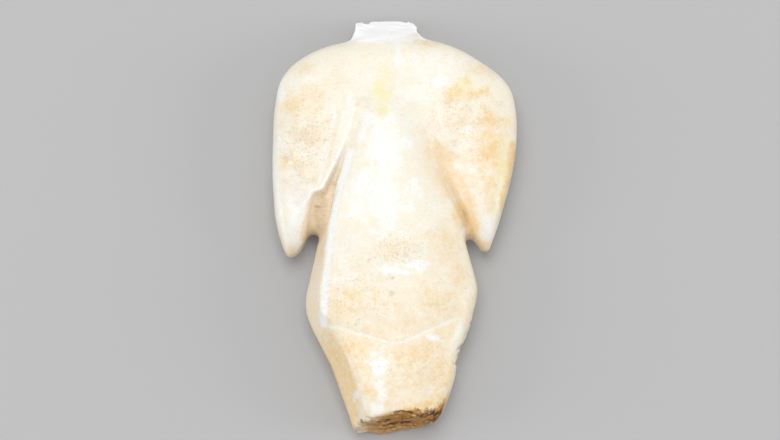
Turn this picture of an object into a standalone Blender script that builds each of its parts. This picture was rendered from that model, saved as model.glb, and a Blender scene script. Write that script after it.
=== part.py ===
"""A goddess figurine's torso, carved from one piece of marble and broken at the neck and across the legs.

It lies on its back. +X points to the viewer's right, +Y to the lost head, and +Z up through the front.
Metres throughout. The form is blocked out as a body, a yoke of shoulders and arms, and the web of stone
left between them. These are joined, ground smooth, and then broken, chipped and incised.
"""

import math

import bmesh
import bpy
import numpy as np
from mathutils import Matrix, Vector, noise
from mathutils.bvhtree import BVHTree

# Driving sizes of the figurine. The length is from break to break along the body.
FIGURE_LENGTH = 0.099
SHOULDER_WIDTH = 0.0571
BODY_DEPTH = 0.0165
ARM_DEPTH = 0.0132

# The web of stone left in each armpit, down to the two notches. They are placed as shares of the shoulder
# width and of the length.
LEFT_NOTCH = (-0.335, 0.468)
RIGHT_NOTCH = (0.305, 0.444)
WEB_LEVEL_SHARE = 0.40
WEB_HEIGHT = 0.0356
WEB_DEPTH = 0.0072
WEB_RISE = 0.0024
WEB_EDGE_ROUNDING = 0.0026
WEB_WIDTH_SHARE = 1.15
WEB_NARROWING_SHARE = 0.6

# The arms lie a little behind the middle of the body. A sloping strip runs down the inner edge of the left
# one, before the cut that frees it.
ARM_SET_BACK_SHARE = 0.38
ARM_BEVEL_WIDTH = 0.0034
ARM_BEVEL_DROP = 0.0011

# The back is ground flat this far into its curve.
BACK_GROUND_OFF = 0.0007

# The incised line across the hips.
INCISION_WIDTH = 0.0010
INCISION_DEPTH = 0.00028

# The broken faces: the lumps of their grain, the ledges across them, and how finely they are cut. The legs'
# face leans forward by the given slope.
BREAK_GRAIN = 0.0024
BREAK_ROUGHNESS = 0.00045
BREAK_LEDGE_HEIGHT = 0.0026
BREAK_LEDGE_DEPTH = 0.00030
BREAK_LEDGE_RUN = 0.0062
BREAK_LEDGE_WANDER = 2.5
BREAK_STEP = 0.0010
LEG_BREAK_LEAN = 0.09

# The chips along the edge of the right thigh, between two places on the length. Each is a little lens.
CHIP_COUNT = 14
CHIP_RADIUS = 0.0008
CHIP_SPAN = (0.300, 0.135)
CHIP_STRETCH = (1.0, 0.8, 3.2)

# How finely the surface is ground, and how many triangles it keeps.
GRINDING_STEP = 0.00045
GRINDING_PASSES = 18
SURFACE_TRIANGLES = 7400
SECTION_STEPS = 28

MARBLE = (0.86, 0.76, 0.60, 1.0)

# The body from the leg break to the neck break. Each row holds the place along the figurine's length,
# the left and right edges as shares of the shoulder width, the front and back as shares of the depth,
# and the width of the facet down its left side as a share of the shoulder width.
BODY_STATIONS = (
    (-0.040, -0.163, 0.127, 0.76, 0.06, 0.070),
    (0.030, -0.200, 0.166, 0.84, 0.02, 0.072),
    (0.080, -0.228, 0.203, 0.895, 0.00, 0.074),
    (0.130, -0.256, 0.229, 0.925, 0.00, 0.076),
    (0.165, -0.281, 0.238, 0.925, 0.00, 0.078),
    (0.205, -0.313, 0.270, 0.93, 0.00, 0.078),
    (0.242, -0.344, 0.297, 0.965, 0.00, 0.078),
    (0.278, -0.363, 0.313, 0.995, 0.00, 0.076),
    (0.313, -0.363, 0.327, 1.00, 0.00, 0.072),
    (0.374, -0.338, 0.308, 0.96, 0.00, 0.062),
    (0.434, -0.314, 0.285, 0.92, 0.00, 0.052),
    (0.495, -0.290, 0.270, 0.90, 0.00, 0.046),
    (0.556, -0.254, 0.238, 0.90, 0.00, 0.042),
    (0.626, -0.216, 0.186, 0.91, 0.00, 0.038),
    (0.697, -0.168, 0.146, 0.91, 0.00, 0.036),
    (0.757, -0.132, 0.128, 0.868, 0.01, 0.040),
    (0.800, -0.148, 0.152, 0.845, 0.03, 0.050),
    (0.859, -0.178, 0.178, 0.828, 0.07, 0.060),
    (0.905, -0.190, 0.180, 0.80, 0.10, 0.060),
    (0.944, -0.163, 0.139, 0.79, 0.12, 0.050),
    (0.970, -0.143, 0.119, 0.79, 0.13, 0.040),
    (1.000, -0.138, 0.114, 0.79, 0.13, 0.036),
    (1.060, -0.136, 0.112, 0.79, 0.13, 0.036),
)

# The yoke from the left elbow over the shoulders to the right elbow. Each row holds the outer edge and the
# inner edge as shares of the shoulder width and of the length, then the front and back as shares of the
# arms' depth.
YOKE_STATIONS = (
    (-0.433, 0.408, -0.413, 0.409, 0.50, 0.36),
    (-0.450, 0.430, -0.389, 0.420, 0.64, 0.24),
    (-0.467, 0.463, -0.365, 0.440, 0.77, 0.15),
    (-0.480, 0.501, -0.345, 0.469, 0.86, 0.10),
    (-0.486, 0.545, -0.333, 0.509, 0.92, 0.07),
    (-0.489, 0.596, -0.311, 0.545, 0.96, 0.05),
    (-0.488, 0.646, -0.254, 0.582, 0.98, 0.04),
    (-0.484, 0.702, -0.196, 0.650, 0.99, 0.02),
    (-0.475, 0.773, -0.149, 0.714, 1.00, 0.01),
    (-0.446, 0.841, -0.112, 0.752, 0.98, 0.01),
    (-0.357, 0.892, -0.075, 0.768, 0.965, 0.02),
    (-0.212, 0.925, -0.038, 0.775, 0.955, 0.03),
    (0.000, 0.936, 0.000, 0.778, 0.95, 0.04),
    (0.212, 0.922, 0.038, 0.775, 0.955, 0.03),
    (0.376, 0.870, 0.079, 0.763, 0.965, 0.02),
    (0.489, 0.807, 0.119, 0.738, 0.98, 0.01),
    (0.515, 0.732, 0.142, 0.692, 1.00, 0.01),
    (0.509, 0.665, 0.172, 0.634, 0.99, 0.02),
    (0.493, 0.611, 0.219, 0.576, 0.97, 0.04),
    (0.474, 0.566, 0.253, 0.527, 0.95, 0.05),
    (0.451, 0.524, 0.284, 0.490, 0.91, 0.07),
    (0.430, 0.487, 0.307, 0.457, 0.85, 0.10),
    (0.408, 0.453, 0.322, 0.436, 0.76, 0.15),
    (0.391, 0.428, 0.340, 0.420, 0.64, 0.24),
    (0.376, 0.408, 0.357, 0.407, 0.50, 0.36),
)

# How square an edge is in section: 2 is the quarter of an ellipse, and more is flatter with a sharper turn.
# The right arm's inner edge goes this share of the way from soft to crisp.
CRISP_EDGE = 5.0
PLAIN_EDGE = 3.2
SOFT_EDGE = 2.3
RIGHT_CRISPNESS = 0.7


def clear_scene():
    for obj in list(bpy.data.objects):
        bpy.data.objects.remove(obj)


def new_collection(name):
    made = bpy.data.collections.new(name)
    bpy.context.scene.collection.children.link(made)
    return made


def add_object(name, mesh, collection):
    obj = bpy.data.objects.new(name, mesh)
    collection.objects.link(obj)
    return obj


def move_to(obj, collection):
    for user in obj.users_collection:
        user.objects.unlink(obj)
    collection.objects.link(obj)


def along(share):
    """The place on the length for a share of it, measured from the leg break."""
    return (share - 0.475) * FIGURE_LENGTH


def across(share):
    return share * SHOULDER_WIDTH


def smooth_rows(rows, steps):
    """Rows on a smooth curve through the given ones, with each span cut into equal steps."""
    rows = np.array(rows, dtype=float)
    padded = np.vstack([2 * rows[0] - rows[1], rows, 2 * rows[-1] - rows[-2]])
    dense = []
    for a, b, c, d in zip(padded, padded[1:], padded[2:], padded[3:]):
        for t in np.arange(steps) / steps:
            bend = (2 * a - 5 * b + 4 * c - d) * t**2 + (3 * b - a - 3 * c + d) * t**3
            dense.append(0.5 * (2 * b + (c - a) * t + bend))
    dense.append(rows[-1])
    return dense


def edge_height(distance, power):
    """The height share of a rounded edge, for a distance share of 0 at the middle and 1 at the edge."""
    return max(0.0, 1 - min(1.0, distance) ** power) ** (1 / power)


def section(left, right, front, back, front_shape, back_power):
    """A ring of points from the left edge over the front to the right edge, and back under.

    The front's height share comes from the given shape, for a place from -1 on the left to 1 on the right.
    """
    middle = (left + right) / 2
    reach = (right - left) / 2
    rise = (front + back) / 2
    ring = []
    for i in range(2 * SECTION_STEPS):
        side = -math.cos(math.pi * i / SECTION_STEPS)
        if i <= SECTION_STEPS:
            level = rise + (front - rise) * front_shape(side)
        else:
            level = rise - (rise - back) * edge_height(abs(side), back_power)
        ring.append(middle + reach * side + Vector((0, 0, level)))
    return ring


def loft(name, rings, collection):
    """A closed skin over a row of rings with equal numbers of points."""
    bm = bmesh.new()
    loops = [[bm.verts.new(point) for point in ring] for ring in rings]
    for first, second in zip(loops, loops[1:]):
        for i in range(2 * SECTION_STEPS):
            j = (i + 1) % (2 * SECTION_STEPS)
            bm.faces.new((first[i], first[j], second[j], second[i]))
    bm.faces.new(loops[0])
    bm.faces.new(loops[-1])
    bmesh.ops.recalc_face_normals(bm, faces=bm.faces)
    mesh = bpy.data.meshes.new(name)
    bm.to_mesh(mesh)
    bm.free()
    return add_object(name, mesh, collection)


def body_block(collection):
    """Neck stump, chest, waist, hips and closed legs, as sections square to the length."""
    rings = []
    for place, left, right, front, back, facet in smooth_rows(BODY_STATIONS, 4):
        half_width = (right - left) / 2

        def front_shape(side):
            if side > 0:
                return edge_height(side, SOFT_EDGE) ** 0.7
            return min((1 + side) * half_width / facet, 1 - 0.04 * side**2)

        left_edge = Vector((across(left), along(place), 0))
        right_edge = Vector((across(right), along(place), 0))
        depths = (front * BODY_DEPTH, back * BODY_DEPTH)
        rings.append(section(left_edge, right_edge, *depths, front_shape, PLAIN_EDGE))
    return loft("body_block", rings, collection)


def yoke_block(collection):
    """Both arms and the shoulders as one arch, as sections from the outer edge to the inner one."""
    rings = []
    base = ARM_SET_BACK_SHARE * (BODY_DEPTH - ARM_DEPTH)
    for outer_x, outer_y, inner_x, inner_y, front, back in smooth_rows(YOKE_STATIONS, 4):
        outer = Vector((across(outer_x), along(outer_y), 0))
        inner = Vector((across(inner_x), along(inner_y), 0))
        half_width = (inner - outer).length / 2
        left_share = min(1.0, max(0.0, 0.5 - 12 * inner_x))
        right_share = min(1.0, max(0.0, 12 * inner_x - 1.7))
        inner_power = SOFT_EDGE + (CRISP_EDGE - SOFT_EDGE) * max(left_share, RIGHT_CRISPNESS * right_share)
        bevel_start = 1 - ARM_BEVEL_WIDTH / half_width
        bevel_drop = 2 * ARM_BEVEL_DROP / ((front - back) * ARM_DEPTH) * left_share

        def front_shape(side):
            if side < 0:
                return edge_height(-side, PLAIN_EDGE)
            bevel = 1 - bevel_drop * max(0.0, side - bevel_start) / (1 - bevel_start)
            return min(bevel, edge_height(side, inner_power))

        depths = (base + front * ARM_DEPTH, base + back * ARM_DEPTH)
        rings.append(section(outer, inner, *depths, front_shape, PLAIN_EDGE))
    return loft("yoke_block", rings, collection)


def web_block(collection):
    """The thinner stone between each arm and the body, from the notches at the waist to the chest."""
    middle_level = WEB_LEVEL_SHARE * BODY_DEPTH
    left_notch = Vector((across(LEFT_NOTCH[0]), along(LEFT_NOTCH[1]), middle_level))
    right_notch = Vector((across(RIGHT_NOTCH[0]), along(RIGHT_NOTCH[1]), middle_level))
    slope = right_notch - left_notch
    bpy.ops.mesh.primitive_cube_add(size=1)
    web = bpy.context.object
    web.name = "web_block"
    width = WEB_WIDTH_SHARE * slope.length
    web.data.transform(Matrix.Diagonal((width, WEB_HEIGHT, WEB_DEPTH, 1)))
    for vert in web.data.vertices:
        if vert.co.y > 0:
            vert.co.x *= WEB_NARROWING_SHARE
            vert.co.z += WEB_RISE if vert.co.z > 0 else -0.5 * WEB_RISE
    web.rotation_euler = (0, 0, math.atan2(slope.y, slope.x))
    web.location = (left_notch + right_notch) / 2 + Vector((0, WEB_HEIGHT / 2, 0))
    rounding = web.modifiers.new("rounded_edge", "BEVEL")
    rounding.width = min(WEB_EDGE_ROUNDING, 0.45 * WEB_DEPTH)
    rounding.segments = 4
    move_to(web, collection)
    return web


def add_boolean(obj, other, operation):
    boolean = obj.modifiers.new(f"{operation.lower()}_{other.name}", "BOOLEAN")
    boolean.operation = operation
    boolean.solver = "EXACT"
    boolean.object = other


def apply_modifiers(obj):
    """Gives the object its evaluated mesh and clears its modifiers."""
    bpy.context.view_layer.update()
    graph = bpy.context.evaluated_depsgraph_get()
    mesh = bpy.data.meshes.new_from_object(obj.evaluated_get(graph))
    obj.modifiers.clear()
    obj.data = mesh


def join_blocks(body, others):
    for other in others:
        add_boolean(body, other, "UNION")
    apply_modifiers(body)
    for other in others:
        bpy.data.objects.remove(other)


def grind_smooth(torso):
    """Runs the blocks into one another as grinding with sand does, and thins the mesh."""
    remesh = torso.modifiers.new("one_surface", "REMESH")
    remesh.mode = "VOXEL"
    remesh.voxel_size = GRINDING_STEP
    smooth = torso.modifiers.new("ground", "SMOOTH")
    smooth.factor = 0.5
    smooth.iterations = GRINDING_PASSES
    apply_modifiers(torso)
    thin = torso.modifiers.new("thinned", "DECIMATE")
    thin.ratio = min(1.0, SURFACE_TRIANGLES / (2 * len(torso.data.polygons)))
    apply_modifiers(torso)


def surface_of(torso):
    bpy.context.view_layer.update()
    return BVHTree.FromObject(torso, bpy.context.evaluated_depsgraph_get())


def front_point(surface, x, y):
    return surface.ray_cast(Vector((x, y, 2 * BODY_DEPTH)), Vector((0, 0, -1)))[0]


def mark_as_cutter(obj):
    obj.hide_render = True
    obj.display_type = "WIRE"


def back_cutter(collection):
    """The grinding slab under the back."""
    bpy.ops.mesh.primitive_cube_add(size=1)
    slab = bpy.context.object
    slab.name = "back_cutter"
    thickness = BODY_DEPTH
    slab.data.transform(Matrix.Diagonal((2 * SHOULDER_WIDTH, 2 * FIGURE_LENGTH, thickness, 1)))
    slab.location = (0, 0, BACK_GROUND_OFF - thickness / 2)
    move_to(slab, collection)
    mark_as_cutter(slab)
    return slab


def break_cutter(name, centre, outward, width, height, collection):
    """A block of lost stone, with a rough layered face centred on a point and facing outward."""
    bm = bmesh.new()
    columns = max(2, round(width / BREAK_STEP))
    rows = max(2, round(height / BREAK_STEP))
    bmesh.ops.create_grid(bm, x_segments=columns, y_segments=rows, size=0.5)
    for vert in bm.verts:
        x = vert.co.x * width
        y = vert.co.y * height
        grain = noise.fractal(Vector((x, y, 0)) / BREAK_GRAIN, 1.0, 2.1, 4)
        wander = BREAK_LEDGE_WANDER * noise.noise(Vector((2 * x, y, 0)) / (2 * BREAK_LEDGE_RUN))
        ledge = math.sin(2 * math.pi * y / BREAK_LEDGE_HEIGHT + wander)
        vert.co = Vector((x, y, BREAK_ROUGHNESS * grain + BREAK_LEDGE_DEPTH * ledge))
    top = bmesh.ops.extrude_face_region(bm, geom=list(bm.faces))["geom"]
    lifted = [item for item in top if isinstance(item, bmesh.types.BMVert)]
    for vert in lifted:
        vert.co.z = 0.25 * FIGURE_LENGTH
    bmesh.ops.recalc_face_normals(bm, faces=bm.faces)
    mesh = bpy.data.meshes.new(name)
    bm.to_mesh(mesh)
    bm.free()
    cutter = add_object(name, mesh, collection)
    turn = outward.to_track_quat("Z", "Y").to_matrix().to_4x4()
    cutter.matrix_world = Matrix.Translation(centre) @ turn
    mark_as_cutter(cutter)
    return cutter


def neck_break(collection):
    """The neck came off in a slanting face that runs back and up from its front."""
    front = Vector((0, along(0.919), 0.79 * BODY_DEPTH))
    back = Vector((0, along(0.998), 0.24 * BODY_DEPTH))
    slant = (back - front).normalized()
    outward = Vector((0.04, -slant.z, slant.y))
    centre = (front + back) / 2
    return break_cutter("neck_break", centre, outward, 0.42 * SHOULDER_WIDTH, 1.6 * BODY_DEPTH, collection)


def leg_break(collection):
    """The legs broke almost straight across, lower at the left corner."""
    left = Vector((across(-0.180), along(0.006), 0.45 * BODY_DEPTH))
    right = Vector((across(0.150), along(0.037), 0.45 * BODY_DEPTH))
    level = (right - left).normalized()
    outward = Vector((level.y, -level.x, LEG_BREAK_LEAN))
    centre = (left + right) / 2
    return break_cutter("leg_break", centre, outward, 0.62 * SHOULDER_WIDTH, 1.7 * BODY_DEPTH, collection)


def thigh_chips(surface, collection):
    """Small flakes lost along the edge of the right thigh."""
    chips = []
    top, bottom = map(along, CHIP_SPAN)
    for i in range(CHIP_COUNT):
        y = top + (bottom - top) * (i + 0.3 * math.sin(5.1 * i)) / (CHIP_COUNT - 1)
        edge = surface.ray_cast(Vector((SHOULDER_WIDTH, y, 0.50 * BODY_DEPTH)), Vector((-1, 0, 0)))[0]
        radius = CHIP_RADIUS * (1 + 0.4 * math.cos(1.9 * i))
        bm = bmesh.new()
        bmesh.ops.create_icosphere(bm, subdivisions=1, radius=radius)
        stretch = Matrix.Diagonal((*CHIP_STRETCH, 1))
        lean = Matrix.Rotation(0.5 * math.sin(2.3 * i), 4, "X")
        bmesh.ops.transform(bm, matrix=lean @ stretch, verts=bm.verts)
        mesh = bpy.data.meshes.new(f"thigh_chip_{i + 1}")
        bm.to_mesh(mesh)
        bm.free()
        chip = add_object(mesh.name, mesh, collection)
        chip.location = edge + Vector((0.30 * radius, 0, (0.06 + 0.05 * math.cos(2.7 * i)) * BODY_DEPTH))
        mark_as_cutter(chip)
        chips.append(chip)
    return chips


def incision_cutter(name, plan, surface, collection):
    """A round-bottomed groove that follows the front surface along a line of (x, y) points."""
    radius = (INCISION_WIDTH**2 / 4 + INCISION_DEPTH**2) / (2 * INCISION_DEPTH)
    curve = bpy.data.curves.new(name, "CURVE")
    curve.dimensions = "3D"
    curve.bevel_depth = radius
    curve.bevel_resolution = 2
    curve.use_fill_caps = True
    spline = curve.splines.new("POLY")
    spline.points.add(len(plan) - 1)
    for point, (x, y) in zip(spline.points, plan):
        level = front_point(surface, x, y).z + radius - INCISION_DEPTH
        point.co = (x, y, level, 1)
    guide = add_object(name, curve, collection)
    bpy.context.view_layer.update()
    graph = bpy.context.evaluated_depsgraph_get()
    mesh = bpy.data.meshes.new_from_object(guide.evaluated_get(graph))
    bpy.data.objects.remove(guide)
    bm = bmesh.new()
    bm.from_mesh(mesh)
    bmesh.ops.remove_doubles(bm, verts=bm.verts, dist=1e-6)
    bmesh.ops.recalc_face_normals(bm, faces=bm.faces)
    bm.to_mesh(mesh)
    bm.free()
    cutter = add_object(name, mesh, collection)
    mark_as_cutter(cutter)
    return cutter


def hip_line_plan():
    """The shallow V across the hips, with a rounded point."""
    left = Vector((across(-0.292), along(0.237)))
    point = Vector((across(-0.016), along(0.184)))
    right = Vector((across(0.268), along(0.2505)))
    rounding = 0.030 * SHOULDER_WIDTH
    steps = 44
    plan = []
    for i in range(steps + 1):
        x = left.x + (right.x - left.x) * i / steps
        end = left if x < point.x else right
        reach = math.hypot(end.x - point.x, rounding) - rounding
        climb = (math.hypot(x - point.x, rounding) - rounding) / reach
        plan.append((x, point.y + (end.y - point.y) * climb))
    return plan


def rest_on_back(torso):
    """Puts the middle of the ground back at the origin."""
    corners = [Vector(corner) for corner in torso.bound_box]
    low = Vector(map(min, *corners))
    high = Vector(map(max, *corners))
    torso.data.transform(Matrix.Translation(-Vector(((low.x + high.x) / 2, (low.y + high.y) / 2, low.z))))


def marble():
    material = bpy.data.materials.new("ivory_marble")
    material.use_nodes = True
    shader = material.node_tree.nodes["Principled BSDF"]
    shader.inputs["Base Color"].default_value = MARBLE
    shader.inputs["Roughness"].default_value = 0.45
    shader.inputs["Metallic"].default_value = 0.0
    return material


def main():
    clear_scene()
    parts = new_collection("goddess_figurine")
    cutters = new_collection("cutters")
    torso = body_block(parts)
    join_blocks(torso, [yoke_block(parts), web_block(parts)])
    torso.name = "marble_torso"
    grind_smooth(torso)
    surface = surface_of(torso)
    tools = [
        incision_cutter("hip_line", hip_line_plan(), surface, cutters),
        back_cutter(cutters),
        neck_break(cutters),
        leg_break(cutters),
        *thigh_chips(surface, cutters),
    ]
    for tool in tools:
        add_boolean(torso, tool, "DIFFERENCE")
    apply_modifiers(torso)
    rest_on_back(torso)
    torso.data.materials.clear()
    torso.data.materials.append(marble())


main()
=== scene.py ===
import math

import bmesh
import bpy
import numpy as np
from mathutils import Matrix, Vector, noise


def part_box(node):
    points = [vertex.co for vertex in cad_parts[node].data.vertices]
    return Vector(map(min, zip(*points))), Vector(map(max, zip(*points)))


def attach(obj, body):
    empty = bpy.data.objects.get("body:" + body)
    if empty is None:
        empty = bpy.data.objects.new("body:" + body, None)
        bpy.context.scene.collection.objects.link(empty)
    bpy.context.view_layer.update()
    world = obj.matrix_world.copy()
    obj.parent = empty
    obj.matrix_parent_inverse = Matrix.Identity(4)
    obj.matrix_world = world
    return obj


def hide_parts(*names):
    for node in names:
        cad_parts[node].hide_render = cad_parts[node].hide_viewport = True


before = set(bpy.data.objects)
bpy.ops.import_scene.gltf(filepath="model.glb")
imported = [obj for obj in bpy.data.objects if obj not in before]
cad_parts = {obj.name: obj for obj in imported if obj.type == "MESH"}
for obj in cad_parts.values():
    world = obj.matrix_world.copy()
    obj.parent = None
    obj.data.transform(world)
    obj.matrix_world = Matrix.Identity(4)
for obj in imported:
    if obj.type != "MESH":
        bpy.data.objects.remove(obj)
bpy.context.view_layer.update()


# The figurine.
# It is one piece of fine marble, roughed out and then ground with sand, so its forms run softly into one
# another. It has lost its head, its lower legs and its polish in places, and the soil has stained it.
MM = 0.001
MERGE_GAP = 0.001 * MM
BLOCK_GRAIN = 0.60 * MM
GRINDING_PASSES = 14

rough = bmesh.new()
rough.from_mesh(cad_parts["marble_torso"].data)
bmesh.ops.remove_doubles(rough, verts=rough.verts, dist=MERGE_GAP)
block = bpy.data.meshes.new("carved_torso")
rough.to_mesh(block)
rough.free()
torso = bpy.data.objects.new("carved_torso", block)
bpy.context.scene.collection.objects.link(torso)
even_grain = torso.modifiers.new("even_grain", "REMESH")
even_grain.mode = "VOXEL"
even_grain.voxel_size = BLOCK_GRAIN
bpy.context.view_layer.update()
stone = bpy.data.meshes.new_from_object(torso.evaluated_get(bpy.context.evaluated_depsgraph_get()))
torso.modifiers.clear()
torso.data = stone

# The grain is halved where the carving and the breaks need it: over the front, at both ends, and down the
# chipped right thigh.
LEG_END_REACH = 4.5 * MM
NECK_END_REACH = 7.0 * MM
CHIPPED_THIGH = (-39.0 * MM, -16.0 * MM)
FACES_FRONT = 0.30
FACES_RIGHT = 0.2
lowest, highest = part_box("marble_torso")
worked = bmesh.new()
worked.from_mesh(stone)
fine_edges = set()
for face in worked.faces:
    middle = face.calc_center_median()
    at_end = middle.y < lowest.y + LEG_END_REACH or middle.y > highest.y - NECK_END_REACH
    on_thigh = face.normal.x > FACES_RIGHT and CHIPPED_THIGH[0] < middle.y < CHIPPED_THIGH[1]
    if face.normal.z > FACES_FRONT or at_end or on_thigh:
        fine_edges.update(face.edges)
fine_edges = [edge for edge in worked.edges if edge in fine_edges]
bmesh.ops.subdivide_edges(worked, edges=fine_edges, cuts=1, use_grid_fill=True)
worked.to_mesh(stone)
worked.free()


def read_points(mesh):
    points = np.empty(len(mesh.vertices) * 3)
    mesh.vertices.foreach_get("co", points)
    return points.reshape(-1, 3)


def facing_of(points):
    """Puts the stone's points in place, and gives each one's outward direction."""
    stone.vertices.foreach_set("co", points.ravel())
    stone.update()
    normals = np.empty(len(points) * 3)
    stone.vertex_normals.foreach_get("vector", normals)
    return normals.reshape(-1, 3)


edges = np.empty(len(stone.edges) * 2, dtype=np.int64)
stone.edges.foreach_get("vertices", edges)
edge_from, edge_to = edges.reshape(-1, 2).T
neighbours = np.bincount(edges, minlength=len(stone.vertices))


def neighbour_mean(values):
    """Each point's mean over the points that it shares an edge with."""
    total = np.zeros_like(values)
    for column in range(values.shape[1]):
        total[:, column] += np.bincount(edge_from, values[edge_to, column], len(values))
        total[:, column] += np.bincount(edge_to, values[edge_from, column], len(values))
    return total / neighbours[:, None]


RUB_PULL = 0.55


def rub(points, passes, share=1.0, keep=1.03):
    """Sands the surface. A keep of about 1 gives back what each pass shrinks, and 0 lets the stone wear."""
    share = share * np.ones(len(points))
    for _ in range(passes):
        for pull in (RUB_PULL, -RUB_PULL * keep):
            points = points + (pull * share)[:, None] * (neighbour_mean(points) - points)
    return points


def spread(mask, passes):
    """Softens a mask over its neighbours."""
    mask = mask[:, None]
    for _ in range(passes):
        mask = 0.5 * mask + 0.5 * neighbour_mean(mask)
    return mask[:, 0]


def run_on(points, zone, side, passes=1500):
    """The heights in a zone if one side's stone ran on through it as a calm surface."""
    height = points[:, 2].copy()
    near = side[edge_from] & side[edge_to] & (zone[edge_from] | zone[edge_to])
    starts, ends = edge_from[near], edge_to[near]
    count = np.bincount(starts, minlength=len(height)) + np.bincount(ends, minlength=len(height))
    moved = np.flatnonzero(zone & side & (count > 0))
    for _ in range(passes):
        total = np.bincount(starts, height[ends], len(height))
        total += np.bincount(ends, height[starts], len(height))
        height[moved] = total[moved] / count[moved]
    return height


def ease(low, high, values):
    """0 at the low value and 1 at the high one, with a soft run between."""
    share = np.clip((values - low) / (high - low), 0, 1)
    return share * share * (3 - 2 * share)


def fade(low, high, values):
    """1 at the low value and 0 at the high one."""
    return 1 - ease(low, high, values)


def grow(ends, low, high, values):
    """Runs from the first end to the second one while the values run from low to high."""
    return ends[0] + (ends[1] - ends[0]) * ease(low, high, values)


FAR_AWAY = 1.0


def stroke(path, points):
    """For each point, in plan: its distance from a path, its offset to the path's left, and its place on it.

    The path is in millimetres from the middle of the back. The place runs from 0 to 1.
    """
    path = np.array(path) * MM
    runs = np.linalg.norm(np.diff(path, axis=0), axis=1)
    starts = np.concatenate([[0], np.cumsum(runs)])
    distance = np.full(len(points), FAR_AWAY)
    offset = np.zeros(len(points))
    place = np.zeros(len(points))
    for a, b, run, start in zip(path, path[1:], runs, starts):
        along = (b - a) / run
        reach = points[:, :2] - a
        walked = np.clip(reach @ along, 0, run)
        gap = reach - walked[:, None] * along
        span = np.linalg.norm(gap, axis=1)
        closer = span < distance
        distance[closer] = span[closer]
        offset[closer] = (span * np.sign(along[0] * reach[:, 1] - along[1] * reach[:, 0]))[closer]
        place[closer] = ((start + walked) / starts[-1])[closer]
    return distance, offset, place


def mottle(points, size, octaves=3, shift=0.0):
    """A cloudy pattern from about -1 to 1, with lumps of the given size."""
    away = Vector((shift, 0, 0))
    return np.array([noise.fractal(Vector(point) / size + away, 1.0, 2.0, octaves) for point in points])


# The whole stone is ground first. From here on, a name that ends in TURN says how squarely the stone faces
# one way, where 0 is edge on and 1 is square on. Paths and spots are in millimetres.
FRONT_TURN = (0.0, 0.4)
FRONT_RISE = (8.0 * MM, 9.5 * MM)
surface = rub(read_points(stone), GRINDING_PASSES)
facing = facing_of(surface)
front = ease(*FRONT_TURN, facing[:, 2]) * ease(*FRONT_RISE, surface[:, 2])

# The incised line is sanded out, to be cut again in the finer grain.
HIP_LINE = (
    (-17.4, -27.1), (-10.1, -29.4), (-4.8, -31.2), (-3.0, -31.9), (-1.7, -32.2),
    (-0.3, -32.0), (1.5, -31.4), (6.9, -29.0), (12.4, -26.6), (15.1, -25.6),
)
HIP_LINE_SANDED = (1.2 * MM, 2.2 * MM)
distance, offset, place = stroke(HIP_LINE, surface)
surface = rub(surface, passes=24, share=front * fade(*HIP_LINE_SANDED, distance), keep=0.3)

# The left side of the torso has a strip shaved along its edge, from the armpit to the hip. Beyond it the side
# falls away. Above the armpit a groove runs between that strip and the arm. The arm and the torso both run on
# level to it, and it deepens and widens down to the web of stone in the armpit.
SHAVED_EDGE = (
    (-7.4, 23.4), (-8.4, 20.1), (-9.3, 16.3), (-10.2, 13.2), (-11.7, 8.4), (-13.3, 4.2),
    (-13.9, 1.1), (-15.1, -5.0), (-15.8, -10.1), (-16.2, -14.5), (-16.6, -18.2), (-17.1, -22.5),
    (-17.2, -26.7),
)
SHAVED_WIDTH = 2.0 * MM
SHAVED_SLOPE = math.tan(math.radians(24))
LEFT_ARM_RIM = (
    (-8.9, 23.4), (-10.2, 19.0), (-11.1, 16.6), (-12.5, 13.5), (-14.9, 8.8), (-17.0, 4.9),
    (-19.1, 4.2), (-20.8, 1.3), (-21.6, -2.2),
)
GROOVE_DEPTHS = (0.4 * MM, 3.0 * MM)
WALL_SLOPES = (1.2, 2.4)
UPPER_TURN = 0.05
UPPER_HEIGHT = 5.0 * MM
GROOVE_REACH = 4.5 * MM
GROOVE_SIDE_REACH = 3.2 * MM
TORSO_LAP = 0.3 * MM
ARM_LAP = 1.5 * MM
STRIP_LAP = 1.2
STRIP_BLEND = 1.5
GROOVE_RUBBED = (2.5 * MM, 3.5 * MM)
# Places on the strip, as shares of its length: the armpit, how far the arm and the groove's head run on, and
# where each form comes in or ends.
ARMPIT = 0.36
ARM_RUNS_TO = 0.55
HEAD_RUNS_TO = 0.30
HEAD_OPENS = (0.03, 0.15)
SHAVE_SHARES = (0.35, 1.0)
SHAVE_DEEPENS = (0.08, 0.42)
FLOOR_ENDS = (0.30, 0.38)
STRIP_STARTS_ALONE = (0.34, 0.42)
STRIP_ENDS = (0.955, 1.0)
# Places on the arm's rim, as shares of its length.
GROOVE_DEEPENS = (0.22, 0.78)
WALLS_STEEPEN = (0.2, 0.6)
RIM_ENDS = (0.90, 1.0)
half_strip = SHAVED_WIDTH / 2
distance, offset, place = stroke(SHAVED_EDGE, surface)
rim_distance, rim_offset, rim_place = stroke(LEFT_ARM_RIM, surface)
upper = (facing[:, 2] > UPPER_TURN) & (surface[:, 2] > UPPER_HEIGHT)
beside = upper & (np.minimum(distance, rim_distance) < GROOVE_REACH)
beside &= (offset < GROOVE_SIDE_REACH) & (rim_offset > -GROOVE_SIDE_REACH)
torso_side = (rim_offset > -TORSO_LAP) & ((place < ARMPIT) | (offset > -half_strip))
arm_side = (rim_offset < ARM_LAP) & (offset < half_strip)
torso_top = run_on(surface, beside, torso_side)
arm_top = run_on(surface, beside & (place < ARM_RUNS_TO), arm_side)
head_top = run_on(surface, beside & (place < HEAD_RUNS_TO), upper)
shave_share = grow(SHAVE_SHARES, *SHAVE_DEEPENS, place)
shaved = torso_top - SHAVED_SLOPE * shave_share * np.clip(half_strip - offset, 0, SHAVED_WIDTH)
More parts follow.
